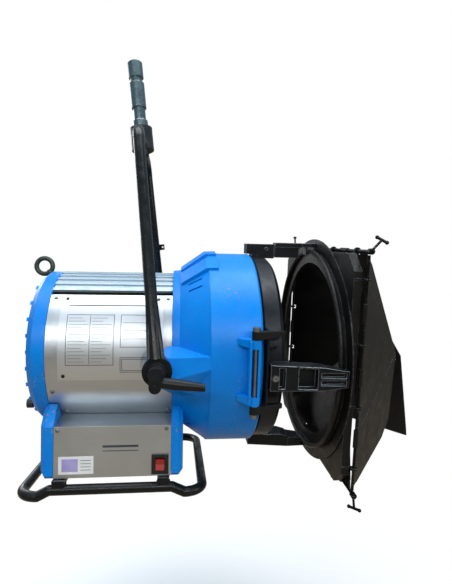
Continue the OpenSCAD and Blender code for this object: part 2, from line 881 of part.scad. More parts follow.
// One rim claw on top of the door, in the barn door's frame.
module rim_claw() {
    half = 20;
    tip_half = 12.5;
    difference() {
        union() {
            hull() {
                block([claw_back, -half, 160], [claw_back + 16, half, 194]);
                block([168, -half + 2, 180], [170, half - 2, 201]);
            }
            hull() {
                block([168, -half + 2, 182], [169, half - 2, 201]);
                block([claw_front - 1, -tip_half, 186], [claw_front, tip_half, 203]);
            }
        }
        // pockets between the two side webs
        block([claw_back + 13, -half + 4, 186], [110, half - 4, 210]);
        block([130, -half + 4, 186], [159, half - 4, 210]);
        for (side = [1, -1]) scale([1, side, 1]) block([164, 2, 195], [claw_front - 4, tip_half - 3, 210]);
        block([claw_back + 24, -half - 1, 150], [170, half + 1, 172]);
        // groove for the rim bead
        revolve_x() polygon([
            [194, 176], [194, 192.2], [203.8, 192.2], [203.8, 188.4], [208, 188.4], [208, 176]
        ]);
        translate([0, 0, barn_drop]) xcyl(lens_ring_r + 0.1, 60, 150);
        translate([claw_back + 7, 0, 150]) cylinder(r = 2.6, h = 60);
        // flat seat for the screw's head
        translate([claw_back + 7, 0, 193]) cylinder(r = 5, h = 10);
        xcyl(176, 120, 220);
    }
}

module rim_claws() {
    color([0.2, 0.21, 0.23]) barn_frame() for (turn = [90, -90, 180]) rotate([turn, 0, 0]) rim_claw();
}

module claw_screws() {
    color("gray") barn_frame() for (turn = [90, -90, 180]) rotate([turn, 0, 0])
        translate([claw_back + 7, 0, 193.1]) difference() {
            cylinder(r = 4.5, h = 4);
            translate([0, 0, 2]) cylinder(r = 2.2, h = 3, $fn = 6);
        }
}

latch_pivot_x = 112;
latch_pivot_z = 190;

module latch_base() {
    color([0.2, 0.21, 0.23]) barn_frame() difference() {
        union() {
            block([84, -13, 160], [127, 13, 184]);
            block([74, -13, 180], [127, -7, 199]);
            block([74, 7, 180], [127, 13, 199]);
        }
        translate([latch_pivot_x, 0, latch_pivot_z]) ycyl(3 + fit, -20, 20);
        translate([0, 0, barn_drop]) xcyl(lens_ring_r + 0.1, 60, 150);
    }
}

module latch_arm() {
    arm_end = flange_x - 0.6;
    color([0.2, 0.21, 0.23]) barn_frame() {
        difference() {
            union() {
                translate([latch_pivot_x, 0, latch_pivot_z]) ycyl(5.8, -6.6, 6.6);
                block([latch_pivot_x, -6.6, latch_pivot_z - 4.8], [134, 6.6, latch_pivot_z + 5]);
                block([latch_pivot_x + 12, -6.6, latch_pivot_z], [134, 6.6, latch_pivot_z + 9]);
                block([130, -9, 174], [176, 9, latch_pivot_z + 4]);
                block([130, -11, latch_pivot_z + 3.5], [182, 11, latch_pivot_z + 12]);
                block([180, -9, latch_pivot_z + 4.5], [arm_end, 9, latch_pivot_z + 12]);
                // lips behind and in front of the rim's bead
                block([189.5, -8, 180], [193.6, 8, latch_pivot_z + 6]);
                block([204.2, -8, 188.8], [arm_end, 8, latch_pivot_z + 6]);
            }
            translate([184, 0, 180]) cylinder(r = 3, h = 30);
        }
        translate([latch_pivot_x, 0, latch_pivot_z]) ycyl(3, -14.5, 14.5);
    }
}

module door_catch() {
    color(black) door_frame() rotate([catch_turn, 0, 0]) translate([catch_x, catch_y, 0]) difference() {
        union() {
            translate([0, 0, -14]) cylinder(r = 6, h = 28);
            hull() {
                translate([0, -1, -13.5]) cylinder(r = 4, h = 27, $fn = 32);
                block([50, -8, -12], [54, -4, 12]);
            }
            block([52, -8, -12], [70, -4, 12]);
        }
        translate([0, 0, -16]) cylinder(r = 3 + fit, h = 32);
        translate([-catch_x, -catch_y, 0]) xcyl(casting_r + 0.6, 0, casting_front + gap);
        translate([-catch_x, -catch_y, 0]) xcyl(lens_ring_r + 0.6, casting_front, 140);
    }
}

// ---- barn door ----

module barndoor_ring() {
    // the bead's round outline, from the rim's outside to its inside
    bead = [for (a = [0 : 20 : 260]) [rim_x + bead_r * cos(a), rim_r + bead_r * sin(a)]];
    color(black) barn_frame() revolve_x() polygon(concat(bead, [
        [flange_x - 3, rim_r - 4], [flange_x - 3, rim_r - 22], [flange_x + flange_t, rim_r - 22],
        [flange_x + flange_t, flange_r], [flange_x, flange_r], [flange_x, rim_r]
    ]));
}

carrier_x = flange_x + flange_t + 0.1;

// Knuckle places along a rod: the carrier holds four, and each leaf turns on three wider sleeves between them.
knuckles = [-150, -50, 50, 150];

module carrier_side() {
    for (s = knuckles) difference() {
        union() {
            translate([rod_x, s - 1.8, rod_half]) rotate([-90, 0, 0]) cylinder(r = collar_r, h = 3.6);
            block([carrier_x, s - 1.8, rod_half - knuckle_r - 1.6], [rod_x, s + 1.8, rod_half - knuckle_r + 1]);
        }
        translate([rod_x, s - 3, rod_half]) rotate([-90, 0, 0]) cylinder(r = rod_r + fit, h = 6);
    }
}

// Square outline of the carrier with its corners cut, at an inset.
module carrier_outline(inset) {
    half = rod_half - knuckle_r - inset;
    cut = half - 26;
    polygon([
        [half, cut], [cut, half], [-cut, half], [-half, cut],
        [-half, -cut], [-cut, -half], [cut, -half], [half, -cut]
    ]);
}

// Shallow tray between the ring and the rods: a plate with a skirt round it.
module barndoor_carrier() {
    skirt_t = 1.6;
    color(black) barn_frame() {
        difference() {
            along_x(carrier_x, rod_x - collar_r - 0.5) carrier_outline(0);
            along_x(carrier_x + 2, rod_x) carrier_outline(skirt_t);
            xcyl(rim_r - 14, carrier_x - 1, carrier_x + 3);
        }
        for (turn = [0 : 90 : 270]) rotate([turn, 0, 0]) carrier_side();
    }
}

module hinge_rods() {
    color("dimgray") barn_frame() for (turn = [0 : 90 : 270]) rotate([turn, 0, 0])
        translate([rod_x, 0, rod_half]) {
            horizontal = turn == 0 || turn == 180;
            ycyl(rod_r, horizontal ? -199 : -rod_end, horizontal ? 199 : rod_end);
        }
}

// A leaf in its own frame: hinge along Y, sheet reaching along +Z, drawn from its [across, along] outline.
module leaf_sheet(outline) {
    difference() {
        union() {
            translate([-leaf_t / 2, 0, 0]) along_x(0, leaf_t) polygon(outline);
            for (s = [-100, 0, 100]) translate([0, s - 14, 0]) rotate([-90, 0, 0])
                cylinder(r = knuckle_r, h = 28);
        }
        translate([0, -200, 0]) rotate([-90, 0, 0]) cylinder(r = rod_r + fit, h = 400);
        for (s = knuckles) block([-8, s - 4, -8], [8, s + 4, 7.5]);
    }
}

// Places a leaf on the rod that is `turn` degrees round from the top, opened from the ring's plane.
module on_rod(turn, open) {
    barn_frame() rotate([turn, 0, 0]) translate([rod_x, 0, rod_half]) rotate([0, -open, 0])
        mirror([0, 0, 1]) children();
}

module leaf_near() {
    color([0.08, 0.08, 0.08]) on_rod(90, near_open) leaf_sheet([
        [-side, 3], [side, 3], [0, tip], [-123, 172], [-148, 136]]);
}

module leaf_far() {
    color([0.08, 0.08, 0.08]) on_rod(-90, far_open) leaf_sheet([
        [-side, 3], [side, 3], [side + 18, 275], [30, 250], [-40, 205], [-110, 165], [-side, 100]]);
}

module leaf_top() {
    color([0.08, 0.08, 0.08]) on_rod(0, top_open) leaf_sheet([
        [-side, 3], [side, 3], [14, tip - 14], [-14, tip - 14]]);
}

module leaf_bottom() {
    color([0.08, 0.08, 0.08]) on_rod(180, bottom_open) leaf_sheet([
        [-side, 3], [side, 3], [14, tip - 14], [-14, tip - 14]]);
}

// T-handle that nips up a horizontal rod. Swing is its angle forward from straight out, twist turns its bar.
module tension_handle(turn, end, swing, twist) {
    arm = 20;
    hub_in = 193;
    hub_len = 8;
    color("dimgray") barn_frame() rotate([turn, 0, 0]) translate([rod_x, 0, rod_half]) scale([1, end, 1])
        rotate([0, swing, 0]) difference() {
            union() {
                ycyl(4.6, hub_in, hub_in + hub_len);
                translate([0, hub_in + hub_len / 2, 3]) cylinder(r = 1.9, h = arm);
                translate([0, hub_in + hub_len / 2, arm + 3]) rotate([0, 90, twist]) {
                    cylinder(r = 2.2, h = 18, center = true);
                    for (tip_at = [-9, 9]) translate([0, 0, tip_at]) sphere(r = 2.9, $fn = 24);
                }
            }
            ycyl(rod_r + fit, hub_in - 3, hub_in + 6.3);
        }
}

module tension_handle_top_near() {
    tension_handle(0, -1, 42, 50);
}

module tension_handle_top_far() {
    tension_handle(0, 1, -5, 80);
}

module tension_handle_bottom_near() {
    tension_handle(180, 1, 8, 50);
}

module tension_handle_bottom_far() {
    tension_handle(180, -1, 20, 50);
}

yoke_tube();
spigot_socket();
spigot();
spigot_bolt();
cable_clip();
pivot_studs();
friction_washers();
front_casting();
rear_cover();
drum_liner();
top_vent();
side_panel_near();
side_panel_far();
label_plate();
label_rivets();
panel_screws();
control_cover_near();
control_cover_far();
control_end_rear();
control_end_front();
control_floor();
frame_clips();
foot_frame();
switch_bezel();
switch_rocker();
lifting_eye();
guide_rods();
power_inlet();
ignitor_box();
hinge_pin();
tilt_lever();
focus_knob();
lamp_carriage();
lamp_holder();
lamp();
reflector();
lens_ring();
fresnel_lens();
lens_clips();
hinge_ears();
rim_claws();
claw_screws();
latch_base();
latch_arm();
door_catch();
barndoor_ring();
barndoor_carrier();
hinge_rods();
leaf_near();
leaf_far();
leaf_top();
leaf_bottom();
tension_handle_top_near();
tension_handle_top_far();
tension_handle_bottom_near();
tension_handle_bottom_far();
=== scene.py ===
# Looks of the fresnel spotlight: materials, printed and worn detail, and finer pieces around the fixed CAD frame.
import math

import bmesh
import bpy
from mathutils import Matrix, Vector


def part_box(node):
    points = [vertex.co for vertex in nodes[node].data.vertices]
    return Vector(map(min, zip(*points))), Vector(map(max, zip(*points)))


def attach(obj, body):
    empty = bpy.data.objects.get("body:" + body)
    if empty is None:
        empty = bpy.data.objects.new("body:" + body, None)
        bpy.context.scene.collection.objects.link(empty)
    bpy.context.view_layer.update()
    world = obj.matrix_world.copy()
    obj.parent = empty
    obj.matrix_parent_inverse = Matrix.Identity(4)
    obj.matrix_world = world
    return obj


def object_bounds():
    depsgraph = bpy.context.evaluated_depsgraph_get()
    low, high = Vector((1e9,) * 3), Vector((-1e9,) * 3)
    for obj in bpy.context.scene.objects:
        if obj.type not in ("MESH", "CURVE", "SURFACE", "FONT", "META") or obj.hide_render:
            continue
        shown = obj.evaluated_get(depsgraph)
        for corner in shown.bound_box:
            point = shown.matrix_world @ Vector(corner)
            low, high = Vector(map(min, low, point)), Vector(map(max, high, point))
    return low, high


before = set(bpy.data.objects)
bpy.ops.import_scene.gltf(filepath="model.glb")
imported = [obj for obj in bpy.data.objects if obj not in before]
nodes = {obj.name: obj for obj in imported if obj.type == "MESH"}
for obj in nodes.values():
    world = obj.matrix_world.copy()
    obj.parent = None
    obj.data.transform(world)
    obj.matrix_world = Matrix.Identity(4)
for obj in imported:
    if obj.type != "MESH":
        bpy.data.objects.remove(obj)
cad_bounds = [list(corner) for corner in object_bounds()]
MM = 0.001

# ---- frames: the head's axis and the lens door's turn about it, as in the CAD ----
LENS_RING_FRONT = 116 * MM
DOOR_CLOCK = math.radians(8)
BARN_DROP = 4 * MM
ring_low, ring_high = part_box("lens_ring")
HEAD = Vector((ring_high.x - LENS_RING_FRONT, (ring_low.y + ring_high.y) / 2, (ring_low.z + ring_high.z) / 2))
HEAD_M = Matrix.Translation(HEAD)
DOOR_M = HEAD_M @ Matrix.Rotation(DOOR_CLOCK, 4, "X")
BARN_M = DOOR_M @ Matrix.Translation((0, 0, -BARN_DROP))


def srgb(r, g, b):
    """Linear colour of an 8-bit display colour."""
    def lin(v):
        v /= 255
        return v / 12.92 if v <= 0.04045 else ((v + 0.055) / 1.055) ** 2.4
    return (lin(r), lin(g), lin(b), 1.0)


# ---- materials ----

class Nodes:
    """Short way to add and join shader nodes."""

    def __init__(self, name):
        self.mat = bpy.data.materials.new(name)
        self.mat.use_nodes = True
        self.tree = self.mat.node_tree
        self.tree.nodes.clear()
        self.coord = self.add("ShaderNodeTexCoord").outputs["Object"]

    def add(self, kind, inputs=None, **props):
        node = self.tree.nodes.new(kind)
        for key, value in props.items():
            setattr(node, key, value)
        for key, value in (inputs or {}).items():
            self.put(node.inputs[key], value)
        return node

    def put(self, socket, value):
        if isinstance(value, bpy.types.NodeSocket):
            self.tree.links.new(value, socket)
        else:
            socket.default_value = value

    def noise(self, scale, detail=3.0, rough=0.55, stretch=None, turn=(0, 0, 0), shift=(0, 0, 0)):
        vector = self.coord
        if stretch or any(turn) or any(shift):
            mapping = self.add("ShaderNodeMapping", {
                "Vector": vector, "Rotation": turn, "Scale": stretch or (1, 1, 1), "Location": shift})
            vector = mapping.outputs["Vector"]
        node = self.add("ShaderNodeTexNoise", {"Vector": vector, "Scale": scale, "Detail": detail, "Roughness": rough})
        return node.outputs["Fac"]

    def span(self, value, low, high, out_low=0.0, out_high=1.0):
        node = self.add("ShaderNodeMapRange", {
            "Value": value, "From Min": low, "From Max": high, "To Min": out_low, "To Max": out_high})
        return node.outputs["Result"]

    def math(self, kind, a, b=0.0):
        node = self.add("ShaderNodeMath", operation=kind)
        self.put(node.inputs[0], a)
        self.put(node.inputs[1], b)
        return node.outputs[0]

    def mix(self, fac, a, b):
        node = self.add("ShaderNodeMix", data_type="RGBA")
        self.put(node.inputs[0], fac)
        self.put(node.inputs[6], a)
        self.put(node.inputs[7], b)
        return node.outputs[2]

    def blend(self, fac, a, b):
        node = self.add("ShaderNodeMix")
        self.put(node.inputs[0], fac)
        self.put(node.inputs[2], a)
        self.put(node.inputs[3], b)
        return node.outputs[0]


def finish_material(name, base, alt=None, rough=0.4, rough_vary=0.12, metallic=0.0, vary_scale=9, grain=900,
                    grain_height=0.03, peel=None, edge=None, edge_width=0.9, edge_cover=0.5, chips=None,
                    chip_scale=260, chip_cover=0.66, scratches=None, scratch_cover=0.6, dust=None,
                    brush=None, round_mm=0.7, coat=0.0, specular=0.5):
    """A painted, plated or cast finish: tone drift, grain, worn edges, chips, scratches and settled dust."""
    n = Nodes(name)
    color = n.mix(n.span(n.noise(vary_scale, 4), 0.35, 0.65), base, alt or base)
    roughness = n.span(n.noise(vary_scale * 5, 5, 0.65), 0.3, 0.7, rough - rough_vary, rough + rough_vary)
    metal = metallic
    height = n.noise(grain, 2, 0.5)
    rounded = n.add("ShaderNodeBevel", {"Radius": round_mm * MM}, samples=4).outputs["Normal"]
    if peel:
        # slow ripple of sprayed paint over the fine grain
        height = n.math("ADD", height, n.math("MULTIPLY", n.noise(peel, 1, 0.4), 1.6))
    if brush:
        lines = n.noise(1.0, 2, 0.7, stretch=brush)
        color = n.mix(n.span(lines, 0.3, 0.7), color, alt or base)
        roughness = n.math("ADD", roughness, n.span(lines, 0.3, 0.7, -0.05, 0.07))
        height = n.math("ADD", height, n.math("MULTIPLY", lines, 1.4))
    if dust:
        up = n.add("ShaderNodeSeparateXYZ", {"Vector": n.add("ShaderNodeNewGeometry").outputs["Normal"]}).outputs["Z"]
        lying = n.math("MULTIPLY", n.span(up, 0.1, 0.95), n.span(n.noise(45, 6, 0.7), 0.38, 0.68))
        color = n.mix(n.math("MULTIPLY", lying, dust[1]), color, dust[0])
        roughness = n.math("ADD", roughness, n.math("MULTIPLY", lying, 0.25))
    if scratches:
        for i, (turn, size) in enumerate(scratches[1]):
            streak = n.noise(1.0, 3, 0.75, stretch=size, turn=turn, shift=(i * 3.1, i * 1.7, 0))
            patch = n.span(n.noise(17 + 9 * i, 3, shift=(i, 0, i)), 0.45, 0.62)
            mask = n.math("MULTIPLY", n.span(streak, scratch_cover, scratch_cover + 0.05), patch)
            color = n.mix(n.math("MULTIPLY", mask, 0.75), color, scratches[0])
            height = n.math("SUBTRACT", height, n.math("MULTIPLY", mask, 0.8))
    if chips:
        spots = n.noise(chip_scale, 4, 0.6)
        patch = n.span(n.noise(14, 4, 0.6, shift=(2, 5, 1)), 0.54, 0.68)
        mask = n.math("MULTIPLY", n.span(spots, chip_cover, chip_cover + 0.03), patch)
        color = n.mix(mask, color, chips)
        roughness = n.blend(mask, roughness, 0.6)
        height = n.math("SUBTRACT", height, n.math("MULTIPLY", mask, 2.0))
    if edge:
        wide = n.add("ShaderNodeBevel", {"Radius": edge_width * MM}, samples=4).outputs["Normal"]
        flat = n.add("ShaderNodeNewGeometry").outputs["Normal"]
        dot = n.add("ShaderNodeVectorMath", operation="DOT_PRODUCT")
        n.put(dot.inputs[0], wide)
        n.put(dot.inputs[1], flat)
        corner = n.span(dot.outputs["Value"], 0.995, 0.90)
        worn = n.span(n.noise(120, 5, 0.7), 1 - edge_cover, 1 - edge_cover + 0.12)
        mask = n.math("MULTIPLY", corner, worn)
        color = n.mix(mask, color, edge[0])
        metal = n.blend(mask, metal, edge[1])
    normal = n.add("ShaderNodeBump", {
        "Height": height, "Strength": 1.0, "Distance": grain_height * MM, "Normal": rounded}).outputs["Normal"]
    bsdf = n.add("ShaderNodeBsdfPrincipled", {
        "Base Color": color, "Roughness": roughness, "Metallic": metal, "Normal": normal,
        "Specular IOR Level": specular, "Coat Weight": coat,
        "Coat Roughness": 0.25, "Coat Normal": normal})
    out = n.add("ShaderNodeOutputMaterial")
    n.put(out.inputs["Surface"], bsdf.outputs["BSDF"])
    return n.mat


def glass_material(name, color, rough, ripple):
    """Clear or cast glass with a faint ripple and smears."""
    n = Nodes(name)
    smear = n.span(n.noise(14, 5, 0.65), 0.45, 0.75)
    roughness = n.blend(smear, rough, rough + 0.16)
    normal = n.add("ShaderNodeBump", {
        "Height": n.noise(ripple, 2), "Strength": 0.3, "Distance": 0.2 * MM}).outputs["Normal"]
    bsdf = n.add("ShaderNodeBsdfPrincipled", {
        "Base Color": color, "Roughness": roughness, "Transmission Weight": 1.0, "IOR": 1.5, "Normal": normal})
    out = n.add("ShaderNodeOutputMaterial")
    n.put(out.inputs["Surface"], bsdf.outputs["BSDF"])
    return n.mat


STEEL_EDGE = (srgb(150, 156, 160), 0.8)
ANY_WAY = [((0.3, 0.2, 0.5), (14, 900, 900)), ((1.2, 0.6, 0.1), (18, 1100, 1100)), ((0.1, 1.3, 0.9), (12, 800, 800))]

M = {
    "blue": finish_material(
        "blue_enamel", srgb(0, 132, 224), srgb(0, 121, 214), specular=0.2, rough=0.31, rough_vary=0.07, grain=1500,
        grain_height=0.11, peel=330, chips=srgb(150, 140, 124), chip_scale=240, chip_cover=0.60,
        edge=(srgb(96, 150, 200), 0.1), edge_cover=0.42, edge_width=0.8, dust=(srgb(70, 92, 116), 0.10),
        scratches=(srgb(40, 130, 215), ANY_WAY[:2]), scratch_cover=0.68, coat=0.04, round_mm=1.0),
    "aluminium": finish_material(
        "brushed_aluminium", srgb(205, 210, 214), srgb(188, 194, 199), rough=0.36, rough_vary=0.05, metallic=1.0,
        grain=2400, grain_height=0.006, brush=(30, 2600, 2600), scratches=(srgb(228, 230, 232), ANY_WAY[:2]),
        scratch_cover=0.7, round_mm=0.4),
    "ribs": finish_material(
        "extruded_aluminium", srgb(190, 206, 216), srgb(172, 190, 202), rough=0.42, metallic=0.55, grain=1800,
        grain_height=0.01, brush=(16, 1500, 1500), round_mm=0.5, dust=(srgb(110, 114, 116), 0.15)),
    "plate": finish_material(
        "anodised_plate", srgb(214, 218, 221), srgb(202, 207, 211), rough=0.40, rough_vary=0.04, metallic=0.92,
        grain=2600, grain_height=0.004, brush=(40, 3000, 3000), scratches=(srgb(235, 236, 238), ANY_WAY[:1]),
        scratch_cover=0.7, round_mm=0.3),
    "tube": finish_material(
        "satin_black_tube", srgb(15, 17, 18), srgb(10, 11, 12), specular=0.28, rough=0.26, rough_vary=0.1, grain=1300,
        grain_height=0.03, edge=(srgb(120, 124, 126), 0.7), edge_cover=0.35, chips=srgb(112, 114, 114),
        chip_scale=420, chip_cover=0.66, scratches=(srgb(112, 116, 118), ANY_WAY), scratch_cover=0.66,
        dust=(srgb(70, 72, 72), 0.07)),
    "socket": finish_material(
        "welded_socket", srgb(18, 19, 20), srgb(12, 13, 14), rough=0.36, grain=700, grain_height=0.06,
        edge=STEEL_EDGE, edge_cover=0.45, chips=srgb(120, 122, 122), chip_scale=380, chip_cover=0.64),
    "spigot": finish_material(
        "worn_spigot_steel", srgb(132, 152, 156), srgb(92, 108, 112), rough=0.28, rough_vary=0.1, metallic=1.0,
        grain=1500, grain_height=0.02, brush=(500, 500, 3200), edge=(srgb(205, 208, 208), 1.0), edge_cover=0.6,
        scratches=(srgb(206, 208, 206), ANY_WAY), scratch_cover=0.64),
    "zinc": finish_material(
        "zinc_plated", srgb(150, 152, 152), srgb(118, 121, 122), rough=0.38, metallic=1.0, grain=1400,
        grain_height=0.02, edge=(srgb(210, 210, 208), 1.0), edge_cover=0.5),
    "eye": finish_material(
        "phosphated_eye", srgb(66, 76, 70), srgb(46, 54, 50), rough=0.44, metallic=0.6, grain=1200,
        grain_height=0.04, edge=(srgb(140, 146, 140), 0.9), edge_cover=0.42, chips=srgb(120, 108, 92), chip_scale=420),
    "rivet": finish_material(
        "dark_rivet", srgb(34, 35, 36), srgb(22, 23, 24), rough=0.4, metallic=0.6, grain=1500, edge=STEEL_EDGE,
        edge_cover=0.4),
    "pad": finish_material(
        "friction_pad", srgb(86, 62, 44), srgb(64, 46, 34), rough=0.85, rough_vary=0.05, grain=1600,
        grain_height=0.08, edge=(srgb(120, 96, 70), 0.0)),
    "liner": finish_material(
        "sooted_liner", srgb(30, 30, 30), srgb(20, 20, 20), rough=0.62, grain=1200, grain_height=0.04,
        dust=(srgb(80, 78, 74), 0.3)),
    "plastic": finish_material(
        "moulded_plastic", srgb(18, 20, 22), srgb(13, 14, 16), rough=0.42, rough_vary=0.06, grain=2200,
        grain_height=0.05, edge=(srgb(70, 72, 74), 0.0), edge_cover=0.35, dust=(srgb(100, 100, 98), 0.2)),
    "lever": finish_material(
        "lever_black", srgb(16, 19, 22), srgb(11, 13, 15), specular=0.28, rough=0.34, rough_vary=0.1, grain=900,
        grain_height=0.06, edge=(srgb(104, 110, 114), 0.5), edge_cover=0.42, chips=srgb(104, 106, 108),
        chip_scale=420, chip_cover=0.67, dust=(srgb(80, 84, 86), 0.08)),
    "red": finish_material(
        "red_rocker", srgb(168, 26, 16), srgb(146, 20, 12), rough=0.34, rough_vary=0.05, grain=1600,
        grain_height=0.01, edge=(srgb(236, 96, 80), 0.0), edge_cover=0.4, coat=0.3),
    "carriage": finish_material(
        "cast_carriage", srgb(158, 160, 160), srgb(132, 134, 135), rough=0.5, metallic=0.9, grain=900,
        grain_height=0.06, edge=(srgb(205, 205, 203), 1.0)),
    "ceramic": finish_material(
        "glazed_ceramic", srgb(226, 220, 208), srgb(212, 204, 190), rough=0.4, grain=1500, grain_height=0.02,
        chips=srgb(150, 130, 105), chip_scale=500, coat=0.3),
    "mirror": finish_material(
        "polished_reflector", srgb(225, 227, 228), srgb(214, 216, 218), rough=0.09, rough_vary=0.03, metallic=1.0,
        grain=300, grain_height=0.02, edge=(srgb(235, 235, 235), 1.0), edge_cover=0.4),
    "ring": finish_material(
        "heatproof_black", srgb(14, 20, 28), srgb(9, 13, 19), specular=0.28, rough=0.36, rough_vary=0.09, grain=1000,
        grain_height=0.07, edge=(srgb(96, 104, 112), 0.5), edge_cover=0.40, chips=srgb(92, 96, 100),
        chip_scale=420, chip_cover=0.67, scratches=(srgb(82, 90, 100), ANY_WAY), scratch_cover=0.67,
        dust=(srgb(70, 74, 76), 0.08)),
    "door": finish_material(
        "barn_door_black", srgb(11, 11, 10), srgb(7, 7, 7), specular=0.28, rough=0.42, rough_vary=0.1, grain=1100,
        grain_height=0.05, edge=(srgb(122, 126, 128), 0.6), edge_cover=0.56, chips=srgb(84, 84, 82), chip_scale=440,
        chip_cover=0.68, scratches=(srgb(70, 74, 80), ANY_WAY), scratch_cover=0.65, dust=(srgb(60, 57, 50), 0.12)),
    "claw": finish_material(
        "cast_claw", srgb(17, 22, 27), srgb(11, 14, 18), specular=0.28, rough=0.40, rough_vary=0.12, metallic=0.25,
        grain=520, grain_height=0.16, edge=(srgb(170, 180, 188), 0.8), edge_cover=0.66, edge_width=1.6,
        chips=srgb(110, 116, 120), chip_scale=360, chip_cover=0.66, round_mm=1.3, dust=(srgb(80, 84, 86), 0.08)),
    "rod": finish_material(
        "blackened_rod", srgb(22, 23, 24), srgb(14, 15, 16), specular=0.28, rough=0.32, metallic=0.7, grain=1500,
        grain_height=0.02, edge=STEEL_EDGE, edge_cover=0.45, scratches=(srgb(120, 122, 122), ANY_WAY)),
    # dark ink for the print on the plate and labels; the same material also paints the shade in the screw recesses
    "ink_and_shade": finish_material(
        "printed_ink_and_painted_shade", srgb(44, 48, 54), srgb(60, 64, 70), rough=0.55, rough_vary=0.05, vary_scale=60, grain=2400,
        grain_height=0.01, round_mm=0.05),
    "paper": finish_material(
        "blank_paper_label", srgb(226, 228, 230), srgb(214, 216, 216), rough=0.6, rough_vary=0.05, vary_scale=40,
        grain=2200, grain_height=0.02, round_mm=0.1, edge=(srgb(170, 164, 150), 0.0), edge_cover=0.4,
        dust=(srgb(150, 144, 132), 0.3)),
    "tinted": finish_material(
        "blank_tinted_field", srgb(150, 142, 196), srgb(164, 156, 206), rough=0.6, rough_vary=0.05, vary_scale=60,
        grain=2200, grain_height=0.02, round_mm=0.05),
    "hem": finish_material(
        "worn_leaf_hem", srgb(16, 18, 19), srgb(10, 11, 12), specular=0.4, rough=0.34, grain=900, grain_height=0.06,
        chips=srgb(120, 126, 130), chip_scale=300, chip_cover=0.56, edge=(srgb(140, 146, 150), 0.6),
        edge_cover=0.5, round_mm=0.4),
    "weld": finish_material(
        "painted_weld", srgb(20, 21, 22), srgb(13, 14, 15), rough=0.38, grain=500, grain_height=0.16,
        edge=STEEL_EDGE, edge_cover=0.35, round_mm=0.4),
    "lens": glass_material("cast_lens_glass", (0.92, 0.97, 0.96, 1), 0.03, 60),
    "bulb": glass_material("lamp_quartz", (0.98, 0.98, 0.96, 1), 0.01, 200),
}

LOOKS = {
    "blue": ["front_casting", "rear_cover", "control_end_rear", "control_end_front"],
    "aluminium": ["side_panel_near", "side_panel_far", "control_cover_near", "control_cover_far"],
    "ribs": ["top_vent"], "plate": ["label_plate"],
    "tube": ["yoke_tube", "foot_frame", "cable_clip", "frame_clips"], "socket": ["spigot_socket", "spigot_bolt"],
    "spigot": ["spigot"],
    "zinc": ["panel_screws", "claw_screws", "pivot_studs", "hinge_pin", "guide_rods", "lens_clips"],
    "eye": ["lifting_eye"],
    "rivet": ["label_rivets"], "pad": ["friction_washers"], "liner": ["drum_liner", "control_floor"],
    "plastic": ["focus_knob", "switch_bezel", "power_inlet", "ignitor_box"],
    "lever": ["tilt_lever", "hinge_ears", "door_catch"], "red": ["switch_rocker"], "carriage": ["lamp_carriage"],
    "ceramic": ["lamp_holder"], "bulb": ["lamp"], "mirror": ["reflector"], "ring": ["lens_ring"],
    "door": ["barndoor_ring", "barndoor_carrier", "leaf_near", "leaf_far", "leaf_top", "leaf_bottom"],
    "lens": ["fresnel_lens"], "claw": ["rim_claws", "latch_base", "latch_arm"],
    "rod": ["hinge_rods", "tension_handle_top_near", "tension_handle_top_far", "tension_handle_bottom_near",
            "tension_handle_bottom_far"],
}
for look, names in LOOKS.items():
    for name in names:
        mesh = nodes[name].data
        mesh.materials.clear()
        mesh.materials.append(M[look])

# ---- finer pieces: millimetres in the frame of the part they sit on, as in the CAD ----
YOKE_LEAN = math.radians(6)
PIVOT = Vector((-80, 0, -17))
YOKE_M = HEAD_M @ Matrix.Translation(PIVOT * MM) @ Matrix.Rotation(-YOKE_LEAN, 4, "Y")
ROD_X = 228
ROD_HALF = 192
LEAF_T = 1.6
LEAF_SIDE = ROD_HALF - 10
LEAF_TIP = ROD_HALF - 6
PLATE_R = 136.2
BOX_HALF = 130
SCREW_TOP_R = 137.05
SCREWS = ((-249, 40), (-249, -28), (-234, -49), (-68, 40), (-68, -49))
CROSSBAR_Z = 393.5
SOCKET_R = 21.2
CROSSBAR_R = 9.6
CLIP_X = (-234.5, -72)
CLIP_HALF = 9.6
CLIP_EDGE_Z = -205.2
CARRIAGE_X = -150
ROD_CLEAR = 9


def make(name, body, look, shapes, place=HEAD_M, smooth=False):
    """Turns shapes, in millimetres in one of the frames above, into a named piece that rides on a body."""
    mesh = bpy.data.meshes.new(name)
    mesh.from_pydata([place @ (Vector(v) * MM) for v in shapes.verts], [], shapes.faces)
    mesh.validate()
    work = bmesh.new()
    work.from_mesh(mesh)
    bmesh.ops.recalc_face_normals(work, faces=work.faces)
    work.to_mesh(mesh)
    work.free()
    for face in mesh.polygons:
        face.use_smooth = smooth
    mesh.materials.append(M[look])
    obj = bpy.data.objects.new(name, mesh)
    bpy.context.scene.collection.objects.link(obj)
    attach(obj, body)


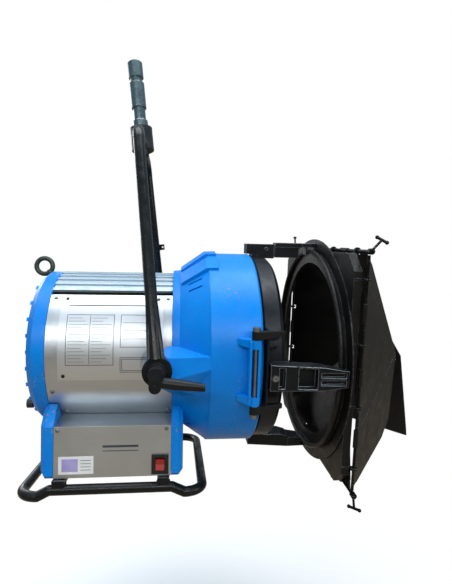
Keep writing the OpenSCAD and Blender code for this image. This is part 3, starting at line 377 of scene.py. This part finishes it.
class Shapes:
    """Gathers closed shapes into one list of vertices and faces."""

    def __init__(self):
        self.verts, self.faces = [], []

    def grid(self, rings, loop=False):
        """A skin over rings of points, closed with two caps, or joined end to start."""
        base, count = len(self.verts), len(rings[0])
        for ring in rings:
            self.verts += ring
        spans = len(rings) if loop else len(rings) - 1
        for i in range(spans):
            a, b = base + i * count, base + (i + 1) % len(rings) * count
            for k in range(count):
                m = (k + 1) % count
                self.faces.append((a + k, a + m, b + m, b + k))
        if not loop:
            self.faces.append(tuple(range(base, base + count)))
            self.faces.append(tuple(range(base + (len(rings) - 1) * count, base + len(rings) * count)))
        return self

    def slab(self, low, high):
        (x0, y0, z0), (x1, y1, z1) = low, high
        return self.grid([[(x0, y0, z), (x1, y0, z), (x1, y1, z), (x0, y1, z)] for z in (z0, z1)])

    def drum_patch(self, x0, x1, a0, a1, r, t, step=2.0):
        """A thin curved plate round the beam; the near side is 0 degrees, the top is 90."""
        count = max(1, math.ceil(abs(a1 - a0) / step))
        rings = []
        for i in range(count + 1):
            a = math.radians(a0 + (a1 - a0) * i / count)
            corners = ((x0, r), (x1, r), (x1, r + t), (x0, r + t))
            rings.append([(x, -q * math.cos(a), q * math.sin(a)) for x, q in corners])
        return self.grid(rings)

    def rod(self, points, r, sides=12, loop=False):
        """A round bar along points, its ends closed. r is one radius or one for each point."""
        points = [Vector(q) for q in points]
        radii = r if isinstance(r, list) else [r] * len(points)
        rings, side = [], None
        for i, here in enumerate(points):
            after = points[(i + 1) % len(points)] if loop or i + 1 < len(points) else here
            before = points[i - 1] if loop or i else here
            along = (after - before).normalized()
            side = side or along.orthogonal()
            side = (side - along * side.dot(along)).normalized()
            other = along.cross(side)
            rings.append([tuple(here + radii[i] * (math.cos(k * math.tau / sides) * side
                                                   + math.sin(k * math.tau / sides) * other)) for k in range(sides)])
        return self.grid(rings, loop=loop)

    def spin(self, profile, place, sides=24):
        """A solid of revolution about Z from [radius, height] points that start and end off the axis."""
        turns = [k * math.tau / sides for k in range(sides)]
        return self.grid([[tuple(place @ Vector((q * math.cos(a), q * math.sin(a), h))) for a in turns]
                          for q, h in profile])


def plate_print():
    """Blank form on the rating plate: ruled lines, a divider and a framed box, with no writing."""
    lift, t, line = PLATE_R + 0.02, 0.1, 0.9
    turn = math.degrees(line / PLATE_R)
    s = Shapes()

    def frame_box(x0, x1, a0, a1):
        for a in (a0, a1):
            s.drum_patch(x0, x1, a, a + turn, lift, t)
        for x in (x0, x1 - line):
            s.drum_patch(x, x + line, a0 + turn, a1, lift, t)

    low, high, rows = -8, 26, 15
    frame_box(-226, -152, low, high)
    for i in range(1, rows):
        a = low + i * (high - low) / rows
        s.drum_patch(-223, -192 - 5 * (i % 3), a, a + turn * 0.6, lift, t)
        s.drum_patch(-187, -156 - 7 * (i * 2 % 3), a, a + turn * 0.6, lift, t)
    s.drum_patch(-190, -189.2, -7, 25.6, lift, t)
    frame_box(-142, -90, 4, high)
    for a in (9.5, 15, 20.5):
        s.drum_patch(-138, -96, a, a + turn * 0.7, lift, t)
    frame_box(-142, -90, -13, -3)
    frame_box(-139.5, -92.5, -11.9, -4.1)
    s.drum_patch(-226, -90, 33, 33 + 2.2 * turn, lift, t)
    make("plate_print", "head", "ink_and_shade", s)


def on_box(shapes, x0, x1, z0, z1, proud, back=0.02):
    """Adds a thin rectangle on the near cover of the control box."""
    return shapes.slab((x0, -BOX_HALF - proud, z0), (x1, -BOX_HALF - back, z1))


def box_label():
    """Blank paper label with a tinted field on the near cover of the control box, and a plain stripe."""
    paper, print_low, print_high, rule = 0.22, 0.2, 0.3, 0.8
    make("box_label", "head", "paper", on_box(Shapes(), -236, -182, -191, -163, paper))
    make("box_label_field", "head", "tinted", on_box(Shapes(), -231, -206, -187, -167, 0.32, print_low))
    s = Shapes()
    for z in (-170, -175, -180, -185):
        on_box(s, -202, -186, z, z + rule, print_high, print_low)
    make("box_label_rules", "head", "ink_and_shade", s)
    s = on_box(Shapes(), -168, -112, -150, -146.5, print_high)
    on_box(s, -168, -112, -156, -154.8, print_high)
    make("box_stripe", "head", "ink_and_shade", s)


def painted_recess_shade():
    """Painted shade: dark crosses, a hair proud, in the dark ink material, drawn where shade would fill the recesses
    in the drum's screws.
    """
    s = Shapes()
    arm, half_line, proud = 1.7, 0.35, 0.06
    for side in (1, -1):
        for x, a in SCREWS:
            rad = math.radians(a)
            out = Vector((0, -side * math.cos(rad), math.sin(rad)))
            across = Vector((0, side * math.sin(rad), math.cos(rad)))
            mid = Vector((x, 0, 0)) + out * (SCREW_TOP_R + 0.01)
            for u, v in ((Vector((1, 0, 0)), across), (across, Vector((1, 0, 0)))):
                ring = [mid + u * p * arm + v * q * half_line for p, q in ((-1, -1), (1, -1), (1, 1), (-1, 1))]
                s.grid([[tuple(c + out * d) for c in ring] for d in (0.0, proud)])
    make("screw_recess_painted_shade", "head", "ink_and_shade", s)


def weld_beads():
    """Rippled beads round the crossbar beside the socket, and along the edges of the frame clips."""
    s = Shapes()
    steps = 72
    for y in (-SOCKET_R, SOCKET_R):
        ring, size = [], []
        for i in range(steps):
            a = math.tau * i / steps
            ring.append((CROSSBAR_R * math.cos(a), y, CROSSBAR_Z + CROSSBAR_R * math.sin(a)))
            size.append(1.5 + 0.22 * math.sin(i * math.pi / 2))
        s.rod(ring, size, 8, loop=True)
    make("socket_welds", "yoke", "weld", s, YOKE_M, True)
    s = Shapes()
    for x in CLIP_X:
        for side in (1, -1):
            for dx in (-CLIP_HALF, CLIP_HALF):
                ring = [(x + dx + 0.25 * math.sin(i * 2.1), side * (124 + i), CLIP_EDGE_Z) for i in range(3, 13)]
                s.rod(ring, [1.1 + 0.2 * math.sin(i * 1.9) for i in range(len(ring))], 8)
    make("clip_welds", "head", "weld", s, HEAD_M, True)


# each leaf: its turn about the beam, its angle when posed, its outline as (along the rod, away from the rod)
LEAVES = {
    "near": (90, 44, [(-LEAF_SIDE, 3), (-148, 136), (-123, 172), (0, LEAF_TIP), (LEAF_SIDE, 3)]),
    "far": (-90, 50, [(-LEAF_SIDE, 3), (-LEAF_SIDE, 100), (-110, 165), (-40, 205), (30, 250),
                      (LEAF_SIDE + 18, 275), (LEAF_SIDE, 3)]),
    "top": (0, 38, [(-LEAF_SIDE, 3), (-14, LEAF_TIP - 14), (14, LEAF_TIP - 14), (LEAF_SIDE, 3)]),
    "bottom": (180, 20, [(-LEAF_SIDE, 3), (-14, LEAF_TIP - 14), (14, LEAF_TIP - 14), (LEAF_SIDE, 3)]),
}


def leaf_frame(turn, opened):
    return (BARN_M @ Matrix.Rotation(math.radians(turn), 4, "X")
            @ Matrix.Translation(Vector((ROD_X, 0, ROD_HALF)) * MM) @ Matrix.Rotation(-math.radians(opened), 4, "Y")
            @ Matrix.Scale(-1, 4, (0, 0, 1)))


def leaf_edges():
    """Rolled hem round the free edges of each leaf, and the pressed crease of the near one."""
    for name, (turn, opened, outline) in LEAVES.items():
        place = leaf_frame(turn, opened)
        path = []
        for a, b in zip(outline, outline[1:]):
            parts = max(2, int(math.dist(a, b) / 12))
            path += [(0, a[0] + (b[0] - a[0]) * i / parts, a[1] + (b[1] - a[1]) * i / parts) for i in range(parts)]
        path.append((0, *outline[-1]))
        path = [q for q in path if q[2] > ROD_CLEAR]
        make(f"leaf_{name}_hem", f"{name}_leaf", "hem",
             Shapes().rod(path, LEAF_T / 2 + 0.45, 10), place, True)
    turn, opened, outline = LEAVES["near"]
    line = [(LEAF_T / 2 - 0.3, -88 + 86 * i / 24, 12 + (LEAF_TIP - 20) * i / 24) for i in range(25)]
    make("leaf_near_crease", "near_leaf", "hem",
         Shapes().rod(line, 1.0, 8), leaf_frame(turn, opened), True)


def lamp_insides():
    """Arc tube and lead wires of the lamp."""
    x = CARRIAGE_X
    arc_tube = [(1.4, -30), (2.2, -16), (5.6, -9), (7.0, 0), (5.6, 9), (2.2, 16), (1.4, 24)]
    return_lead = [(x, 8, -34), (x, 12, -20), (x, 13, 0), (x, 12, 18), (x, 4, 27), (x, 0, 25)]
    s = Shapes().spin(arc_tube, Matrix.Translation((x, 0, 0)))
    make("lamp_arc_tube", "focus_carriage", "ceramic", s, HEAD_M, True)
    s = Shapes().rod([(x, 0, -35.2), (x, 0, -31)], 0.8, 8)
    s.rod(return_lead, 0.6, 8)
    make("lamp_leads", "focus_carriage", "zinc", s, HEAD_M, True)


plate_print()
box_label()
painted_recess_shade()
weld_beads()
leaf_edges()
lamp_insides()

# ---- stage: pale floor, soft light, the camera ----
FLOOR_DROP = 0.36
FLOOR_R = 30.0
BACKDROP = (1, 1, 1, 1)
floor_z = cad_bounds[0][2] - FLOOR_DROP


def make_stage():
    bpy.ops.mesh.primitive_circle_add(vertices=96, radius=FLOOR_R, fill_type="NGON", location=(0, 0, floor_z))
    floor = bpy.context.object
    floor.name = "floor"
    n = Nodes("pale_floor")
    paper = n.add("ShaderNodeBsdfDiffuse", {"Color": (0.92, 0.92, 0.915, 1)})
    backdrop = n.add("ShaderNodeEmission", {"Color": BACKDROP})
    reach = n.add("ShaderNodeVectorMath", {"Vector": n.coord}, operation="LENGTH").outputs["Value"]
    seen = n.add("ShaderNodeMixShader", {"Fac": n.span(reach, 0.25, 0.9)})
    n.put(seen.inputs[1], paper.outputs["BSDF"])
    n.put(seen.inputs[2], backdrop.outputs["Emission"])
    felt = n.add("ShaderNodeBsdfDiffuse", {"Color": (0.34, 0.27, 0.20, 1)})
    which = n.add("ShaderNodeMixShader", {"Fac": n.add("ShaderNodeLightPath").outputs["Is Camera Ray"]})
    n.put(which.inputs[1], felt.outputs["BSDF"])
    n.put(which.inputs[2], seen.outputs["Shader"])
    out = n.add("ShaderNodeOutputMaterial")
    n.put(out.inputs["Surface"], which.outputs["Shader"])
    floor.data.materials.append(n.mat)


def area(name, place, size, power, tint):
    """A rectangular light that faces the point the lights aim at."""
    data = bpy.data.lights.new(name, "AREA")
    data.shape = "RECTANGLE"
    data.size, data.size_y = size
    data.energy = power
    data.color = tint
    light = bpy.data.objects.new(name, data)
    bpy.context.scene.collection.objects.link(light)
    light.location = place
    light.rotation_euler = (AIM - place).to_track_quat("-Z", "Y").to_euler()


def make_world():
    world = bpy.data.worlds.new("studio")
    bpy.context.scene.world = world
    world.use_nodes = True
    tree = world.node_tree
    tree.nodes.clear()
    geo = tree.nodes.new("ShaderNodeTexCoord")
    split = tree.nodes.new("ShaderNodeSeparateXYZ")
    tree.links.new(geo.outputs["Generated"], split.inputs[0])
    ramp = tree.nodes.new("ShaderNodeValToRGB")
    tree.links.new(split.outputs["Z"], ramp.inputs["Fac"])
    stops = ramp.color_ramp.elements
    stops[0].position, stops[0].color = 0.0, (0.50, 0.46, 0.42, 1)
    stops[1].position, stops[1].color = 1.0, (0.55, 0.68, 0.80, 1)
    mid = stops.new(0.25)
    mid.color = (0.34, 0.42, 0.48, 1)
    high = stops.new(0.6)
    high.color = (0.42, 0.55, 0.66, 1)
    lit = tree.nodes.new("ShaderNodeBackground")
    lit.inputs["Strength"].default_value = 0.85
    tree.links.new(ramp.outputs["Color"], lit.inputs["Color"])
    seen = tree.nodes.new("ShaderNodeBackground")
    seen.inputs["Color"].default_value = BACKDROP
    path = tree.nodes.new("ShaderNodeLightPath")
    which = tree.nodes.new("ShaderNodeMixShader")
    tree.links.new(path.outputs["Is Camera Ray"], which.inputs[0])
    tree.links.new(lit.outputs[0], which.inputs[1])
    tree.links.new(seen.outputs[0], which.inputs[2])
    out = tree.nodes.new("ShaderNodeOutputWorld")
    tree.links.new(which.outputs[0], out.inputs["Surface"])


CAMERA_FROM_HEAD = Vector((-0.05186, -0.79677, 0.08667))
CAMERA_RIGHT = Vector((0.99534, -0.09587, 0.01000))
CAMERA_UP = Vector((-0.01015, -0.00103, 0.99995))
CAMERA_LENS = 25.361
CAMERA_SENSOR = 36
CAMERA_SHIFT = (0.0148, 0.0114)
CAMERA_NEAR = 0.02


def make_camera():
    data = bpy.data.cameras.new("camera")
    data.sensor_fit = "AUTO"
    data.sensor_width = CAMERA_SENSOR
    data.lens = CAMERA_LENS
    data.shift_x, data.shift_y = CAMERA_SHIFT
    data.clip_start = CAMERA_NEAR
    camera = bpy.data.objects.new("camera", data)
    bpy.context.scene.collection.objects.link(camera)
    back = CAMERA_RIGHT.cross(CAMERA_UP).normalized()
    turn = Matrix((CAMERA_RIGHT, CAMERA_UP, back)).transposed()
    camera.matrix_world = Matrix.Translation(HEAD + CAMERA_FROM_HEAD) @ turn.to_4x4()
    bpy.context.scene.camera = camera


make_stage()
make_world()
make_camera()
AIM = HEAD + Vector((-0.02, 0, 0))
# name, place from the head, size, power, tint; the key is a narrow strip that draws the bright band along the drum
LIGHTS = (
    ("key", (-0.1, -2.0, 0.78), (2.4, 0.22), 21, (1, 1, 1)),
    ("top", (0.0, -0.3, 2.0), (2.2, 1.2), 46, (0.96, 0.98, 1.0)),
    ("side", (2.2, -1.3, 0.6), (0.8, 1.2), 12, (1, 1, 1)),
    ("back", (-1.6, 1.9, 1.0), (1.4, 1.2), 22, (1, 1, 1)),
)
for light_name, offset, light_size, light_power, light_tint in LIGHTS:
    area(light_name, HEAD + Vector(offset), light_size, light_power, light_tint)
bpy.context.scene.view_settings.view_transform = "Standard"
bpy.context.scene.view_settings.look = "None"
